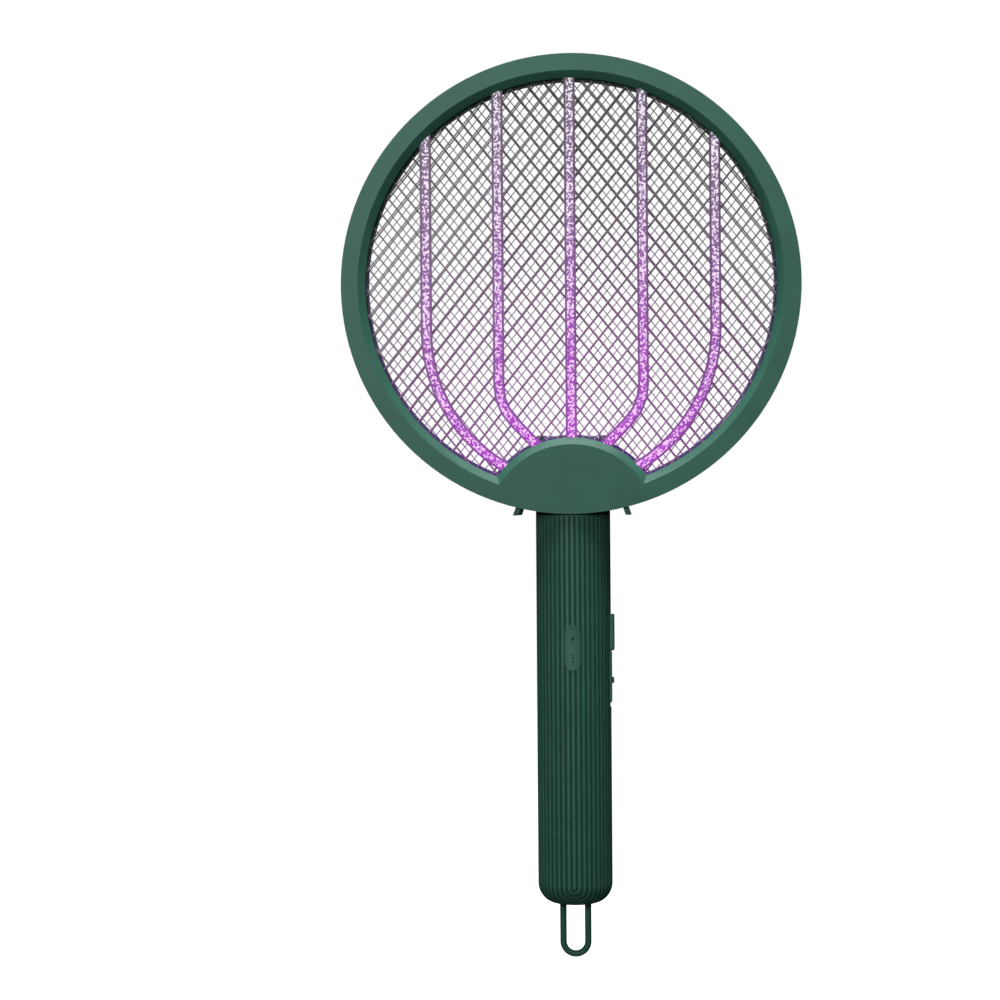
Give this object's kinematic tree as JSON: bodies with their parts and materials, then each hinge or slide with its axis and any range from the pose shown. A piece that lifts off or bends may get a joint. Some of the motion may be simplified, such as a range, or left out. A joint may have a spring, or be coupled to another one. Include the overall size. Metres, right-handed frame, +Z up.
{
  "type": "electric bug zapper",
  "caption": "Folding hand-held bug zapper: a round head of layered diamond mesh with light guides, hinged on a fluted rechargeable handle with a hanging loop.",
  "frame": {"origin": "middle of the grip, on the handle's axis", "axes": "+Z up along the handle towards the head; the head's front faces -Y; +X is to the right seen from the front, the side with the controls"},
  "size_m": [0.22, 0.04, 0.4347],
  "materials": {
    "green_shell": "satin moulded plastic",
    "green_trim": "satin moulded plastic",
    "dark_window": "smoked lens",
    "guard_wire": "galvanised",
    "live_wire": "galvanised",
    "lit_spacer": "translucent",
    "light_guide": "clear, prismatic",
    "circuit_board": "solder mask",
    "lamp": "clear lens",
    "black_plastic": "moulded",
    "capacitor_sleeve": "shrink sleeve",
    "battery_sleeve": "shrink sleeve",
    "bright_metal": "nickel plated",
    "washer": "low-friction plastic"
  },
  "bodies": {
    "handle": {"handle_front_shell": "green_shell", "handle_rear_shell": "green_shell", "neck_block": "green_shell", "indicator_panel": "green_trim", "side_switch_plate": "green_trim", "bolt_window": "dark_window", "charge_dots": "dark_window", "control_board": "circuit_board", "indicator_board": "circuit_board", "indicator_lamps": "lamp", "tact_switch": "black_plastic", "slide_switch": "black_plastic", "loop_guide": "black_plastic", "step_up_transformer": "black_plastic", "storage_capacitor": "capacitor_sleeve", "battery_cell": "battery_sleeve", "usb_socket": "bright_metal", "lower_battery_contact": "bright_metal", "upper_battery_contact": "bright_metal", "handle_screws": "bright_metal"},
    "head": {"head_front_frame": "green_shell", "head_rear_frame": "green_shell", "front_guard_mesh": "guard_wire", "front_spacer_ring": "lit_spacer", "high_voltage_mesh": "live_wire", "rear_spacer_ring": "lit_spacer", "rear_guard_mesh": "guard_wire", "light_guide_rib_1": "light_guide", "light_guide_rib_2": "light_guide", "light_guide_rib_3": "light_guide", "light_guide_rib_4": "light_guide", "light_guide_rib_5": "light_guide", "uv_lamp_board": "circuit_board", "uv_leds": "lamp", "left_foot": "green_shell", "right_foot": "green_shell", "head_screws": "bright_metal", "hinge_pin": "bright_metal", "left_hinge_washer": "washer", "right_hinge_washer": "washer", "left_hinge_cap": "green_trim", "right_hinge_cap": "green_trim"},
    "zap_button": {"zap_button": "green_trim"},
    "mode_knob": {"mode_knob": "green_trim"},
    "hanging_loop": {"hanging_loop": "green_shell"}
  },
  "joints": [
    {"name": "head_fold", "type": "hinge", "parent": "handle", "child": "head", "pos_m": [0, 0.01, 0.1229], "axis": [-1, 0, 0], "range_deg": [0, 180]},
    {"name": "zap_button_press", "type": "slide", "parent": "handle", "child": "zap_button", "axis": [-1, 0, 0], "range_m": [0, 0.0012], "stiffness_N_per_m": 600, "springref_m": -0.001},
    {"name": "mode_slide", "type": "slide", "parent": "handle", "child": "mode_knob", "axis": [0, 0, 1], "range_m": [-0.004, 0.004]},
    {"name": "loop_slide", "type": "slide", "parent": "handle", "child": "hanging_loop", "axis": [0, 0, 1], "range_m": [0, 0.013]}
  ]
}
